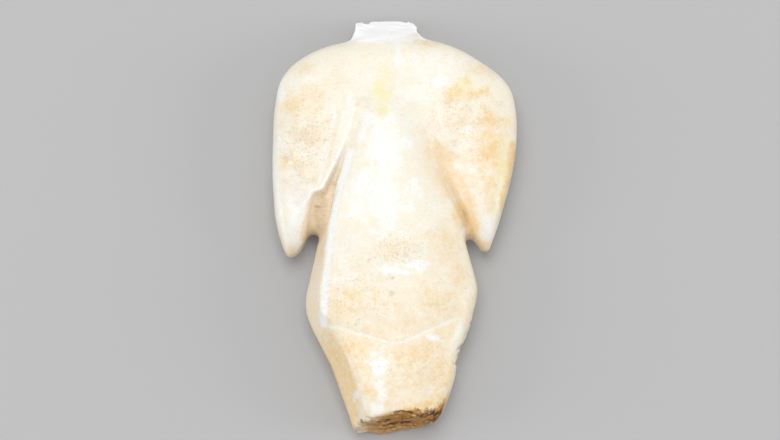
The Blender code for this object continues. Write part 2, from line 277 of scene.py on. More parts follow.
groove_depth = grow(GROOVE_DEPTHS, *GROOVE_DEEPENS, rim_place)
wall_slope = grow(WALL_SLOPES, *WALLS_STEEPEN, rim_place)
in_armpit = ease(*FLOOR_ENDS, place)
floor_height = (torso_top - groove_depth) * (1 - in_armpit) + surface[:, 2] * in_armpit
arm_wall = arm_top - wall_slope * np.maximum(0, rim_offset)
torso_wall = shaved - wall_slope * np.maximum(0, -half_strip - offset)
torso_wall = np.where(place < ARMPIT, torso_wall, 0)
groove_height = np.maximum(floor_height, np.maximum(arm_wall, torso_wall))
above = np.where(offset > -half_strip, shaved, np.where(rim_offset < 0, arm_top, groove_height))
above = head_top + ease(*HEAD_OPENS, place) * (above - head_top)
below = np.where(offset > -STRIP_LAP * half_strip, np.minimum(surface[:, 2], shaved), surface[:, 2])
past_armpit = ease(*STRIP_STARTS_ALONE, place) * ease(-STRIP_BLEND * half_strip, -half_strip, offset)
carved = above + past_armpit * (below - above)
strip_end = fade(*STRIP_ENDS, place)
rim_end = fade(*RIM_ENDS, rim_place * (offset < -half_strip))
surface[:, 2] += beside * np.minimum(strip_end, rim_end) * (carved - surface[:, 2])
near_groove = front * fade(*GROOVE_RUBBED, np.minimum(distance, rim_distance))
surface = rub(surface, passes=4, share=0.8 * near_groove)

# The right groove is broad and soft. The torso slopes down into it, and it ends at the foot of the arm's rim,
# which only comes out of the chest halfway down.
RIGHT_HEADS = (
    ((2.0, 27.5), (5.5, 22.5), (7.3, 18.5)),
    ((4.6, 30.2), (7.9, 26.7), (9.9, 23.1), (10.4, 19.5), (10.6, 16.5)),
)
RIGHT_ARM_RIM = (
    (7.2, 17.5), (8.5, 14.0), (10.8, 10.0), (12.4, 6.9), (14.9, 1.1), (17.2, -3.7), (18.6, -6.8),
)
RIGHT_WALL_SLOPES = (0.25, 1.6)
RIGHT_HEAD_REACH = 3.6 * MM
RIGHT_RIM_REACH = 3.0 * MM
RIGHT_ARM_LAP = 1.3 * MM
RIGHT_FLOOR_LAP = 1.0 * MM
RIGHT_RUBBED = (2.0 * MM, 5.0 * MM)
# Places on the right rim, as shares of its length.
RIGHT_WALL_STEEPENS = (0.15, 0.65)
RIGHT_RIM_RISES = (0.0, 0.35)
RIGHT_RIM_ENDS = (0.72, 0.92)
RIGHT_RUBBED_TO = (0.15, 0.60)
head_distance = np.minimum(stroke(RIGHT_HEADS[0], surface)[0], stroke(RIGHT_HEADS[1], surface)[0])
surface[:, 2] = run_on(surface, upper & (head_distance < RIGHT_HEAD_REACH), upper)
distance, offset, place = stroke(RIGHT_ARM_RIM, surface)
beside = upper & (distance < RIGHT_RIM_REACH) & (offset > -RIGHT_ARM_LAP)
arm_top = run_on(surface, beside, offset > -RIGHT_ARM_LAP)
floor_height = run_on(surface, beside & (offset < RIGHT_FLOOR_LAP), offset < RIGHT_FLOOR_LAP)
wall_slope = grow(RIGHT_WALL_SLOPES, *RIGHT_WALL_STEEPENS, place)
arm_wall = arm_top + wall_slope * np.minimum(0, offset)
carved = np.where(offset > 0, arm_top, np.maximum(np.minimum(floor_height, arm_top), arm_wall))
rim_share = ease(*RIGHT_RIM_RISES, place) * fade(*RIGHT_RIM_ENDS, place)
surface[:, 2] += beside * rim_share * (carved - surface[:, 2])
softness = fade(*RIGHT_RUBBED, np.minimum(head_distance, distance)) * fade(*RIGHT_RUBBED_TO, place)
surface = rub(surface, passes=30, share=front * softness, keep=0.0)
surface = rub(surface, passes=5, share=0.8 * front * fade(*GROOVE_RUBBED, distance))

# A low step crosses the chest between the grooves, where the chest ends and the waist begins. Another one
# runs down the left arm beside its rim.
CHEST_STEP = (
    (-10.2, 22.2), (-8.3, 23.6), (-6.5, 21.6), (-3.8, 20.3),
    (0.1, 20.2), (3.6, 21.1), (6.4, 20.2), (8.6, 17.3),
)
CHEST_STEP_HEIGHT = 0.10 * MM
CHEST_STEP_RUN = (-0.9 * MM, 0.9 * MM)
CHEST_STEP_FADES = (1.0 * MM, 4.0 * MM)
ARM_STEP = ((-13.6, 22.5), (-14.0, 20.7), (-14.7, 17.8), (-15.4, 14.7), (-16.6, 8.8), (-17.9, 6.0))
ARM_STEP_HEIGHT = 0.10 * MM
ARM_STEP_RUN = (-0.3 * MM, 0.3 * MM)
ARM_STEP_FADES = (0.6 * MM, 2.4 * MM)
ARM_STEP_REACH = 2.5 * MM
ARM_STEP_STARTS = (0.0, 0.3)
ARM_STEP_ENDS = (0.85, 1.0)
distance, offset, place = stroke(CHEST_STEP, surface)
step_share = fade(*CHEST_STEP_FADES, distance) * ease(*CHEST_STEP_RUN, offset)
surface[:, 2] += CHEST_STEP_HEIGHT * step_share * front
distance, offset, place = stroke(ARM_STEP, surface)
step_share = ease(*ARM_STEP_RUN, offset) * fade(*ARM_STEP_FADES, offset)
step_share *= (distance < ARM_STEP_REACH) * ease(*ARM_STEP_STARTS, place) * fade(*ARM_STEP_ENDS, place)
surface[:, 2] -= ARM_STEP_HEIGHT * step_share * front

# The web of stone under the left groove is worn smooth.
WEB_MIDDLE = (-17.6, 0.2)
WEB_LENGTHENED = 1.6
WEB_FADES = (1.4, 2.6)
WEB_HEIGHT = 11.5 * MM
along_web = (surface[:, 1] / MM - WEB_MIDDLE[1]) / WEB_LENGTHENED
web_gap = np.hypot(surface[:, 0] / MM - WEB_MIDDLE[0], along_web)
on_web = front * fade(*WEB_FADES, web_gap) * (surface[:, 2] < WEB_HEIGHT)
surface = rub(surface, passes=30, share=on_web, keep=0.0)

# The hip line is a shallow round-bottomed groove. A fainter one runs down to its point.
HIP_LINE_WIDTH = 1.0 * MM
HIP_LINE_DEPTH = 0.08 * MM
HIP_LINE_STARTS = (0.0, 0.03)
HIP_LINE_ENDS = (0.88, 1.0)
FAINT_LINE = ((-1.9, -23.0), (-1.8, -27.0), (-1.7, -31.5))
FAINT_SHARE = 0.25


def round_bottom(distance):
    """How deep a cut line is at a distance from its middle, as a share of its depth."""
    return np.clip(1 - (2 * distance / HIP_LINE_WIDTH) ** 2, 0, 1)


distance, offset, place = stroke(HIP_LINE, surface)
line_ends = ease(*HIP_LINE_STARTS, place) * fade(*HIP_LINE_ENDS, place)
hip_cut = round_bottom(distance) * line_ends * front
surface[:, 2] -= HIP_LINE_DEPTH * hip_cut
faint_cut = round_bottom(stroke(FAINT_LINE, surface)[0]) * front
surface[:, 2] -= FAINT_SHARE * HIP_LINE_DEPTH * faint_cut

# The neck broke off in a slanting face that runs softly into the chest. The stump stands a little wider than
# the solid's, has an upright left corner, and a bite is out of its upper edge.
NECK_FACE = Vector((0.04, 0.76, 0.65)).normalized()
NECK_FACE_TURN = (0.80, 0.97)
NECK_BASE = 41.0 * MM
NECK_STARTS = (NECK_BASE - 1 * MM, NECK_BASE + 1 * MM)
NECK_RISES = (NECK_BASE + 1 * MM, NECK_BASE + 6 * MM)
NECK_REACH = 12 * MM
NECK_MIDDLE = -2.6 * MM
NECK_WIDENING = 0.03
NECK_SHIFT = 0.3 * MM
NECK_NARROWING = 0.056
NECK_NARROWS = (41.4 * MM, 42.8 * MM)
NECK_NARROWS_TO = (45.2 * MM, 47.0 * MM)
NECK_NARROWS_WITHIN = (8.5 * MM, 11.0 * MM)
NECK_TOP = (46.0 * MM, 47.2 * MM)
NECK_LEFT_CORNER = (-9.0 * MM, -6.5 * MM)
NECK_RIGHT_CORNER = (2.0 * MM, 6.0 * MM)
NECK_CORNER_SPREADS = (0.10 * MM, 0.30 * MM)
NECK_CORNER_LIFT = 0.5 * MM
NECK_TOP_TRIM = 0.30 * MM
NECK_TRIM_STARTS = (-7.0 * MM, -6.3 * MM)
NECK_TRIM_EASES = (-5.0 * MM, 0.0)
NECK_FOLD = 42.0 * MM
NECK_FOLD_RUBBED = (1.2 * MM, 3.5 * MM)
NECK_FOLD_TURN = 0.2
NECK_CRUMB = 1.6 * MM
NECK_ROUGHNESS = 0.06 * MM
NECK_BITE = Vector((-5.9, 49.3)) * MM
NECK_BITE_RADIUS = 1.0 * MM
NECK_BITE_DEPTH = 1.2 * MM
NECK_BITE_STEEPNESS = 1.3
up_neck = ease(*NECK_RISES, surface[:, 1])
on_neck = ease(*NECK_STARTS, surface[:, 1]) * (np.abs(surface[:, 0]) < NECK_REACH)
across_neck = surface[:, 0] - NECK_MIDDLE
waist = ease(*NECK_NARROWS, surface[:, 1]) * fade(*NECK_NARROWS_TO, surface[:, 1])
waist *= fade(*NECK_NARROWS_WITHIN, np.abs(across_neck))
surface[:, 0] += up_neck * (NECK_WIDENING * across_neck + NECK_SHIFT)
surface[:, 0] -= waist * NECK_NARROWING * across_neck
at_top = ease(*NECK_TOP, surface[:, 1])
surface[:, 0] -= NECK_CORNER_SPREADS[0] * at_top * fade(*NECK_LEFT_CORNER, surface[:, 0])
surface[:, 0] += NECK_CORNER_SPREADS[1] * at_top * ease(*NECK_RIGHT_CORNER, surface[:, 0])
surface[:, 1] += NECK_CORNER_LIFT * up_neck * fade(*NECK_LEFT_CORNER, surface[:, 0])
trim_share = ease(*NECK_TRIM_STARTS, surface[:, 0]) * (2 - ease(*NECK_TRIM_EASES, surface[:, 0]))
surface[:, 1] -= NECK_TOP_TRIM * up_neck * trim_share
from_fold = np.abs(surface[:, 1] - NECK_FOLD)
in_fold = fade(*NECK_FOLD_RUBBED, from_fold) * (facing[:, 2] > NECK_FOLD_TURN)
surface = rub(surface, passes=70, share=in_fold, keep=0.0)
facing = facing_of(surface)
broken_neck = ease(*NECK_FACE_TURN, facing @ np.array(NECK_FACE)) * on_neck
surface = rub(surface, passes=12, share=broken_neck, keep=0.0)
crumble = mottle(surface, NECK_CRUMB, octaves=4)
surface += (NECK_ROUGHNESS * broken_neck * crumble)[:, None] * np.array(NECK_FACE)
from_bite = np.linalg.norm(surface[:, :2] - np.array(NECK_BITE), axis=1)
bite = np.clip(NECK_BITE_STEEPNESS - NECK_BITE_STEEPNESS * from_bite / NECK_BITE_RADIUS, 0, 1)
surface[:, 1] -= NECK_BITE_DEPTH * bite * on_neck

# The legs broke off across the thighs. The right leg is left a little longer than the left one, at its upper
# edge (LEG_ENDS[0]) more than at its lower one, and its outer corner tapers.
LEG_ENDS = (1.8 * MM, 1.0 * MM)
LEG_TAPER = 0.6
LONGER_ABOVE = (-1.0 * MM, 4.5 * MM)
LONGER_BELOW = (-8.5 * MM, -5.0 * MM)
UPPER_EDGE = (1.5 * MM, 6.5 * MM)
LONGER_FROM = (-45.5 * MM, -40.5 * MM)
RIGHT_CORNER = (6.5 * MM, 10.5 * MM)
RIGHT_CORNER_LOSS = 0.8
TAPERED = (3.0 * MM, 9.0 * MM)
LEG_END_LENGTH = 6 * MM
LEG_EDGE_RISE = (7.0 * MM, 9.0 * MM)
longer_above = LEG_ENDS[0] * ease(*LONGER_ABOVE, surface[:, 0])
longer_below = LEG_ENDS[1] * ease(*LONGER_BELOW, surface[:, 0])
upper_share = ease(*UPPER_EDGE, surface[:, 2])
longer = upper_share * longer_above + (1 - upper_share) * longer_below
longer *= 1 - RIGHT_CORNER_LOSS * ease(*RIGHT_CORNER, surface[:, 0])
longer *= fade(*LONGER_FROM, surface[:, 1])
surface[:, 1] -= longer
surface[:, 0] -= LEG_TAPER * longer * ease(*TAPERED, surface[:, 0])
at_legs = surface[:, 1] < lowest.y + LEG_END_LENGTH
leg_edge = at_legs * ease(*LEG_EDGE_RISE, surface[:, 2])
surface = rub(surface, passes=14, share=0.9 * leg_edge, keep=0.4)
facing = facing_of(surface)

# The break is in rough layers. Its middle is deep and brown, and its rim stays pale, most at its left corner.
LAYER_HEIGHT = 1.7 * MM
LAYER_DEPTH = 0.30 * MM
LAYER_STRETCH = np.array((0.28, 1.0, 1.0))
LAYER_WAVE = 2.5 * MM
LAYER_WAVER = 3.5
BREAK_CRUMB = 1.1 * MM
BREAK_CRUMBLE = 0.30 * MM
BREAK_TURN = (0.35, 0.75)
BREAK_FOOT = (0.3 * MM, 2.5 * MM)
BREAK_MIDDLE = (1.6 * MM, 8.4 * MM)
BREAK_HALF_SPAN = (10.6 * MM, 7.6 * MM)
BREAK_CORE = (0.80, 1.15)
BREAK_CORE_RAGGED = 0.35
BREAK_LEFT_END = (-9.6 * MM, -7.0 * MM)
BREAK_LEFT_SHARES = (0.25, 1.0)
PALE_CORNER_RISE = (9.0 * MM, 12.0 * MM)
PALE_CORNER_END = (-7.5 * MM, -3.0 * MM)
PALE_CORNER_SHARE = 0.8
broken = ease(*BREAK_TURN, -facing[:, 1]) * at_legs
waver = LAYER_WAVER * mottle(surface * LAYER_STRETCH, LAYER_WAVE, octaves=3, shift=7.0)
layers = np.sin(2 * math.pi * surface[:, 2] / LAYER_HEIGHT + waver)
grit = mottle(surface, BREAK_CRUMB, octaves=4, shift=3.0)
break_relief = LAYER_DEPTH * layers + BREAK_CRUMBLE * grit
surface[:, 1] -= broken * ease(*BREAK_FOOT, surface[:, 2]) * break_relief
break_core = np.hypot(
    (surface[:, 0] - BREAK_MIDDLE[0]) / BREAK_HALF_SPAN[0],
    (surface[:, 2] - BREAK_MIDDLE[1]) / BREAK_HALF_SPAN[1],
)
stained_core = broken * fade(*BREAK_CORE, break_core + BREAK_CORE_RAGGED * grit)
broken = spread(broken, passes=2) * grow(BREAK_LEFT_SHARES, *BREAK_LEFT_END, surface[:, 0])
pale_corner = ease(*PALE_CORNER_RISE, surface[:, 2]) * fade(*PALE_CORNER_END, surface[:, 0])
broken *= 1 - PALE_CORNER_SHARE * pale_corner
stained_core = spread(stained_core, passes=3) * (1 - pale_corner)

# Small nicks are out of the right thigh's edge. Each is given by its place along the figurine and its height
# in millimetres, its half width along the edge, its half height, and its depth.
THIGH_NICKS = (
    (-26.6, 7.1, 0.6, 3.0, 0.65), (-29.0, 7.5, 0.7, 2.4, 0.45), (-31.9, 6.9, 0.8, 3.4, 0.85),
    (-33.8, 7.3, 0.6, 2.7, 0.65), (-35.6, 7.0, 0.9, 3.8, 1.05), (-37.3, 7.6, 0.5, 2.3, 0.45),
)
NICK_SLANT = 0.27
NICK_FADES = (0.3, 1.1)
NICK_FLAKE = 0.9 * MM
NICK_RAGGED = 0.4
NICK_TURN = (0.30, 0.60)
flaked = mottle(surface, NICK_FLAKE, octaves=2, shift=11.0)
chipped = np.zeros(len(surface))
for along, height, half_width, half_height, depth in THIGH_NICKS:
    above_nick = surface[:, 2] / MM - height
    beside_nick = surface[:, 1] / MM - along + NICK_SLANT * above_nick
    gap = np.hypot(beside_nick / half_width, above_nick / half_height)
    chipped = np.maximum(chipped, depth * fade(*NICK_FADES, gap + NICK_RAGGED * flaked))
chipped *= ease(*NICK_TURN, facing[:, 0])
surface[:, 0] -= chipped * MM

# Hand grinding left faint waves over the whole stone. The soil has etched it in patches, mostly on the arms,
# in the armpit and above the belly. Each patch has its place, its half width and its half height.
WAVE_SIZE = 6.0 * MM
WAVE_HEIGHT = 0.07 * MM
ETCH_SIZE = 0.8 * MM
ETCH_DEPTH = 0.05 * MM
ETCH_FADES = (0.3, 1.1)
ETCH_LUMPS = (0.22, 0.55)
ETCHED_AREAS = (
    (-21.0, 14.0, 6.0, 9.0), (17.0, 17.0, 7.0, 8.0), (-17.8, 0.0, 3.0, 4.5), (0.0, -11.0, 5.0, 2.6),
    (9.0, -24.0, 6.0, 4.0), (2.0, -38.0, 9.0, 7.0),
)
facing = facing_of(surface)
waves = mottle(surface, WAVE_SIZE, octaves=2, shift=5.0)
surface += (WAVE_HEIGHT * waves * (1 - np.maximum(broken_neck, broken)))[:, None] * facing
etched = np.zeros(len(surface))
for x, y, half_width, half_height in ETCHED_AREAS:
    gap = np.hypot((surface[:, 0] / MM - x) / half_width, (surface[:, 1] / MM - y) / half_height)
    etched = np.maximum(etched, fade(*ETCH_FADES, gap))
pits = front * etched * ease(*ETCH_LUMPS, mottle(surface, ETCH_SIZE, octaves=3, shift=15.0))
surface -= (ETCH_DEPTH * pits)[:, None] * facing
surface[:, 2] = np.maximum(surface[:, 2], 0)

# What the soil and handling have done to the colour is laid down as masks on the surface, and so are the
# painted highlights and painted shade.
SEEN_TURN = (-0.1, 0.3)
SEEN_RISE = (5.0 * MM, 8.0 * MM)
plan = surface[:, :2] / MM
ragged = mottle(surface, size=2.6 * MM, octaves=4, shift=2.0)
cloudy = mottle(surface, size=8.0 * MM, octaves=3, shift=9.0)
front = ease(*SEEN_TURN, facing[:, 2]) * ease(*SEEN_RISE, surface[:, 2])


def blots(spots, core=0.35, rim=1.35, raggedness=0.9):
    """The strongest of a set of ragged spots. Each has its place, its half width and height, and strength."""
    mask = np.zeros(len(plan))
    for x, y, half_width, half_height, strength in spots:
        gap = np.hypot((plan[:, 0] - x) / half_width, (plan[:, 1] - y) / half_height) + raggedness * ragged
        mask = np.maximum(mask, strength * fade(core, rim, gap))
    return mask * front


def band(path, half_width, strength):
    """A soft band along a path, with a ragged edge."""
    gap = stroke(path, surface)[0] / MM + 0.5 * half_width * ragged
    return strength * fade(0.3 * half_width, 1.2 * half_width, gap) * front


def bands(rows):
    """The strongest of a set of bands. Each has its path, its half width and a strength."""
    return np.maximum.reduce([band(*row) for row in rows])


RUST_SPOTS = (
    (-20.7, 33.9, 3.2, 2.2, 0.45), (-23.4, 25.1, 3.4, 3.2, 0.70), (-18.6, 27.0, 4.6, 3.0, 0.55),
    (-20.0, 18.5, 6.0, 4.5, 0.45), (-24.5, 11.5, 2.6, 2.4, 0.80), (-21.0, 9.5, 4.0, 3.5, 0.35),
    (-13.0, 31.0, 5.0, 4.0, 0.25), (8.2, 39.6, 3.2, 2.4, 0.55), (20.0, 32.5, 4.0, 2.5, 0.45),
    (15.2, 27.0, 3.0, 2.0, 1.25), (19.0, 26.2, 3.0, 2.0, 1.10), (21.4, 20.5, 3.6, 3.4, 0.95),
    (22.0, 12.0, 4.6, 7.0, 0.95), (17.5, 19.5, 6.0, 6.0, 0.45), (20.5, 3.0, 3.6, 6.0, 0.75),
    (17.2, 29.4, 1.8, 1.6, 0.80), (21.5, 16.0, 3.5, 2.5, 0.90), (-8.0, -36.8, 2.0, 2.5, 0.80),
    (13.6, 25.2, 2.6, 1.6, 0.70), (14.0, 7.0, 2.8, 5.5, 0.50), (-19.9, 23.5, 3.0, 2.5, 0.45),
    (-11.5, -31.8, 2.2, 2.8, 0.90), (-11.2, -21.5, 3.0, 2.0, 0.85), (-12.5, -23.5, 3.0, 4.5, 0.70),
    (-8.0, -42.0, 2.2, 3.5, 0.70), (19.0, 17.0, 3.0, 3.0, 0.60), (17.5, 10.5, 3.0, 3.0, 0.50),
    (17.3, -4.5, 1.2, 1.8, 0.80), (13.2, -2.3, 1.2, 2.4, 0.80), (24.2, 14.8, 1.6, 2.6, 0.80),
    (-2.0, -11.4, 3.6, 2.2, 0.45), (2.0, -10.0, 3.8, 2.0, 0.30), (10.5, -9.0, 3.8, 5.0, 0.60),
    (13.7, -16.8, 2.4, 4.0, 0.65), (-12.3, -20.4, 2.8, 1.4, 0.70), (-13.5, -24.0, 2.8, 2.4, 0.55),
    (-6.8, -22.2, 4.5, 3.2, 0.50), (7.8, -22.6, 5.0, 3.8, 0.65), (10.7, -25.0, 2.4, 1.8, 0.60),
    (2.5, -28.0, 4.5, 2.2, 0.50), (-16.0, -31.8, 2.8, 4.5, 0.75), (-13.4, -37.6, 3.2, 4.5, 0.80),
    (-12.2, -41.0, 2.0, 2.0, 0.90), (-10.0, -46.5, 2.4, 2.6, 0.30), (1.0, -35.0, 5.0, 3.0, 0.80),
    (6.4, -33.5, 4.5, 2.8, 0.75), (2.8, -39.4, 6.5, 5.0, 0.58), (-9.0, -34.0, 3.2, 4.5, 0.65),
    (8.5, -38.5, 3.5, 5.0, 0.70), (4.5, -46.2, 4.8, 1.5, 1.00), (8.0, -44.0, 2.5, 2.5, 0.80),
    (-17.8, -29.5, 2.5, 6.0, 0.60), (-14.8, -38.0, 2.2, 6.0, 0.60), (-12.8, -45.0, 2.0, 4.0, 0.60),
    (20.3, -10.2, 1.4, 1.2, 0.80), (-24.4, -9.6, 1.8, 2.2, 1.00), (26.0, 19.0, 2.0, 4.0, 0.50),
    (-17.4, -12.0, 1.8, 9.0, 0.45), (9.6, -41.2, 0.7, 0.9, 0.90),
)
NECK_STAIN = ((6.2, 42.0, 1.8, 2.4, 0.50), (6.8, 44.2, 1.0, 2.0, 0.45))
YELLOW_SPOTS = (
    (-1.4, 32.5, 1.7, 3.5, 0.45), (-2.2, 27.6, 2.3, 3.4, 0.80), (-2.9, 23.0, 1.7, 1.9, 0.75),
    (24.5, 8.0, 1.5, 8.0, 0.50), (9.5, -30.0, 3.0, 1.2, 0.40), (16.4, 28.2, 3.6, 2.6, 0.45),
)
# Some of the pale spots are painted highlights and painted light over shade: those on the belly, down the
# left thigh, on the left shoulder, on the left elbow's ridge, at the foot of the shaved strip, at the left
# leg's lower corner, just below the hip line's right arm, on the right hip edge and low on the right arm's
# outer edge. The others are pale patches.
PALE_AND_HIGHLIGHT_SPOTS = (
    (-1.8, 13.3, 6.0, 9.0, 0.75), (-4.0, 2.2, 8.0, 7.5, 0.75), (1.4, 38.8, 1.3, 4.5, 0.70),
    (-17.1, -25.3, 1.3, 2.0, 1.00), (-9.3, -46.0, 1.0, 3.0, 0.50), (9.0, 33.5, 6.5, 4.5, 0.40),
    (2.1, 32.0, 1.5, 4.0, 0.40), (5.0, 27.0, 5.0, 2.4, 0.50), (-5.5, 21.0, 2.2, 2.2, 0.80),
    (-23.6, -1.5, 2.4, 7.0, 0.70), (-26.2, 29.0, 1.2, 4.0, 0.80), (-10.2, 25.0, 1.2, 2.8, 0.60),
    (17.4, 17.5, 3.2, 0.9, 0.60), (-2.8, -15.7, 2.0, 1.7, 1.00), (3.8, -14.8, 2.7, 1.6, 1.00),
    (0.4, -16.0, 2.6, 0.9, 1.00), (7.8, -30.9, 1.5, 1.0, 0.90), (-4.8, -36.9, 2.1, 3.2, 1.00),
    (-4.6, -42.5, 1.3, 5.0, 0.75), (-5.3, -46.4, 1.8, 1.6, 0.80), (-10.2, -43.4, 1.0, 1.0, 1.00),
    (13.4, -32.0, 1.8, 3.0, 0.55), (20.6, -4.8, 1.6, 3.0, 0.70), (-12.5, -10.0, 2.5, 9.0, 0.30),
    (11.0, 30.2, 2.0, 2.2, 0.70), (19.5, 0.5, 1.4, 3.5, 0.40),
)
EARTH_SPOTS = (
    (-18.4, 1.4, 1.0, 0.6, 0.70), (-17.9, -0.5, 2.0, 3.4, 0.32), (-1.6, -17.4, 0.6, 0.4, 0.60),
    (-1.8, -21.0, 0.8, 0.9, 0.30), (-22.0, 17.5, 3.5, 3.0, 0.12), (-24.7, 11.8, 1.5, 1.2, 0.25),
    (-23.6, 7.0, 3.2, 6.0, 0.13), (-24.5, 21.3, 3.5, 2.2, 0.08), (-12.5, -7.5, 2.5, 3.5, 0.07),
    (15.6, -3.5, 1.0, 2.6, 0.35), (-8.0, 42.2, 2.2, 0.6, 0.15), (4.0, -47.6, 4.5, 0.6, 0.40),
)
SPECKLED_SPOTS = (
    (-21.0, 15.5, 7.0, 9.0, 1.00), (16.0, 21.0, 8.0, 7.0, 0.70), (-18.0, 0.0, 3.0, 5.0, 0.90),
    (0.5, -10.5, 6.0, 3.5, 0.90), (2.0, -38.0, 10.0, 7.0, 0.20), (-10.0, -22.0, 7.0, 5.0, 0.60),
)
VEIN = ((-26.6, 17.5), (-25.0, 14.0), (-23.6, 9.0), (-22.3, 6.5))
LEFT_FLOOR = ((-14.2, 9.0), (-15.9, 4.9), (-18.0, 0.5), (-18.5, -3.5))
RIGHT_SLOPE = ((7.6, 17.5), (9.2, 13.5), (10.8, 8.5), (11.7, 4.8))
RIGHT_WEB = ((14.7, 0.4), (16.0, -2.4), (17.1, -5.2))
RIGHT_ARM_INSIDE = (
    (9.7, 13.8), (11.6, 10.2), (13.3, 6.6), (14.9, 3.0),
    (16.2, -0.5), (17.6, -4.0), (19.2, -7.8), (20.4, -10.2),
)
LEFT_ARM_INSIDE = ((-20.0, 2.5), (-21.6, -2.5), (-23.0, -7.0), (-24.6, -10.6))
GROOVE_HEAD = ((-8.7, 24.6), (-9.6, 21.0), (-10.6, 17.6))
RIGHT_HIP_EDGE = ((16.5, -8.0), (18.3, -19.0), (17.2, -23.6), (13.7, -35.8), (9.6, -47.5))
RIGHT_ARM_EDGE = ((27.4, 14.0), (25.7, 6.0), (24.0, 0.5))
HIP_CORNER = ((-17.4, -13.0), (-18.3, -20.0), (-18.2, -27.0))
NECK_FOOT = ((-7.0, 41.4), (-1.0, 41.2), (4.0, 41.4))
LEFT_ARM_EDGE = ((-27.6, 31.0), (-28.4, 22.0), (-28.4, 12.0), (-27.4, 2.0), (-25.4, -6.5))
# The rust along the right groove's slope and the right arm's inner face also paints the groove's shade.
RUST_AND_SHADE_BANDS = (
    (LEFT_FLOOR, 1.9, 0.35), (RIGHT_SLOPE, 2.4, 0.15), (RIGHT_SLOPE[1:], 3.2, 0.30),
    (RIGHT_ARM_INSIDE, 2.8, 0.50), (RIGHT_WEB, 1.6, 0.80), (RIGHT_ARM_EDGE, 1.8, 1.10),
    (RIGHT_HIP_EDGE, 1.4, 0.60),
)
# The tan down the right groove's slope and on the inner faces of both arms also paints the shade there.
TAN_AND_SHADE_BANDS = (
    (RIGHT_SLOPE, 3.6, 0.25), (RIGHT_SLOPE[1:], 4.6, 0.42), (RIGHT_WEB, 2.0, 0.95),
    (RIGHT_ARM_INSIDE, 2.3, 0.65), (LEFT_ARM_INSIDE, 0.9, 0.35), (GROOVE_HEAD, 0.7, 0.45),
)
# The pale bands along the shaved strip, the left arm's outer edge and the step on the left arm are painted
# highlights, and the shaved strip is also worn pale. Those over the hip corner and the neck's foot are
# painted light over shade. The vein is the marble's own.
PALE_AND_HIGHLIGHT_BANDS = (
    (VEIN, 0.6, 0.6), (SHAVED_EDGE[3:], 1.1, 1.0), (LEFT_ARM_EDGE, 0.8, 0.6), (ARM_STEP, 0.4, 0.6),
    (HIP_CORNER, 1.3, 0.25), (NECK_FOOT, 1.3, 0.9),
)

# Thin rust lies over the whole front, more of it toward the legs. The left leg's left-facing side is given
# rust that also paints the shade on that side.
THIN_RUST = 0.12
THIN_RUST_GAIN = 0.38
THIN_RUST_EVEN = 0.7
THIN_RUST_RAGGED = 0.6
LOWER_BODY = (-2.0 * MM, -30.0 * MM)
LEFT_LEG = (-28.0 * MM, -34.0 * MM)
LEFT_LEG_TURN = (0.4, 0.8)
LEFT_LEG_RUST_AND_SHADE = 0.80
toward_legs = ease(0, 1, (surface[:, 1] - LOWER_BODY[0]) / (LOWER_BODY[1] - LOWER_BODY[0]))
neck_stain = blots(NECK_STAIN)
rust_and_shade = np.maximum.reduce([
    blots(RUST_SPOTS, core=0.0, rim=1.7, raggedness=0.6), neck_stain, bands(RUST_AND_SHADE_BANDS),
    front * (THIN_RUST + THIN_RUST_GAIN * toward_legs) * (THIN_RUST_EVEN + THIN_RUST_RAGGED * ragged),
    LEFT_LEG_RUST_AND_SHADE * ease(*LEFT_LEG_TURN, -facing[:, 0]) * ease(*LEFT_LEG, surface[:, 1]),
])

# The left groove is tan, most of all in the armpit, and its rim has a painted highlight. The foot of the
# step on the arm is tan too, and the torso's left side below the armpit has painted shade in tan.
RIM_SET_BACK = 0.3 * MM
RIM_LIGHT = (0.1 * MM, 0.7 * MM)
RIM_LIGHT_REACH = 1.5 * MM
IN_FROM_RIM = (0.0, 0.3 * MM)
IN_FROM_STRIP = (-0.3 * MM, 0.1 * MM)
IN_FROM_HEAD = (0.06, 0.16)
IN_ARMPIT_TO = -6.5 * MM
IN_GROOVE_REACH = 6 * MM
GROOVE_TAN = 0.65
GROOVE_TAN_LOSS = 0.60
GROOVE_TAN_FADES = (2.0 * MM, 8.0 * MM)
STEP_FOOT = 0.8 * MM
STEP_FOOT_FADES = (0.2 * MM, 0.9 * MM)
STEP_FOOT_REACH = 1.8 * MM
STEP_FOOT_TAN = 0.40
LEFT_SIDE = (0.0, -6.0 * MM)
LEFT_SIDE_TURN = (0.5, 0.9)
LEFT_SIDE_PAINTED_SHADE = 0.35
# The hip line is painted pale, which also paints the light that its groove catches.
HIP_LINE_PALE_AND_LIGHT = 0.5
FAINT_LINE_PALE = 0.25
RIM_HIGHLIGHT = 0.8
distance, offset, place = stroke(LEFT_ARM_RIM, surface)
rim_light = fade(*RIM_LIGHT, np.abs(offset + RIM_SET_BACK)) * (distance < RIM_LIGHT_REACH) * front
strip_offset, strip_place = stroke(SHAVED_EDGE, surface)[1:]
in_reach = (surface[:, 1] > IN_ARMPIT_TO) & (distance < IN_GROOVE_REACH)
in_groove = ease(*IN_FROM_RIM, offset) * fade(*IN_FROM_STRIP, strip_offset + half_strip)
in_groove *= front * ease(*IN_FROM_HEAD, strip_place) * in_reach
distance, offset, place = stroke(ARM_STEP, surface)
step_foot = fade(*STEP_FOOT_FADES, np.abs(offset - STEP_FOOT))
step_foot *= (distance < STEP_FOOT_REACH) * front
groove_tan = in_groove * (GROOVE_TAN - GROOVE_TAN_LOSS * ease(*GROOVE_TAN_FADES, surface[:, 1]))
tan = np.maximum.reduce([
    groove_tan, bands(TAN_AND_SHADE_BANDS), STEP_FOOT_TAN * step_foot,
    LEFT_SIDE_PAINTED_SHADE * ease(*LEFT_SIDE_TURN, -facing[:, 0]) * ease(*LEFT_SIDE, surface[:, 1]),
])
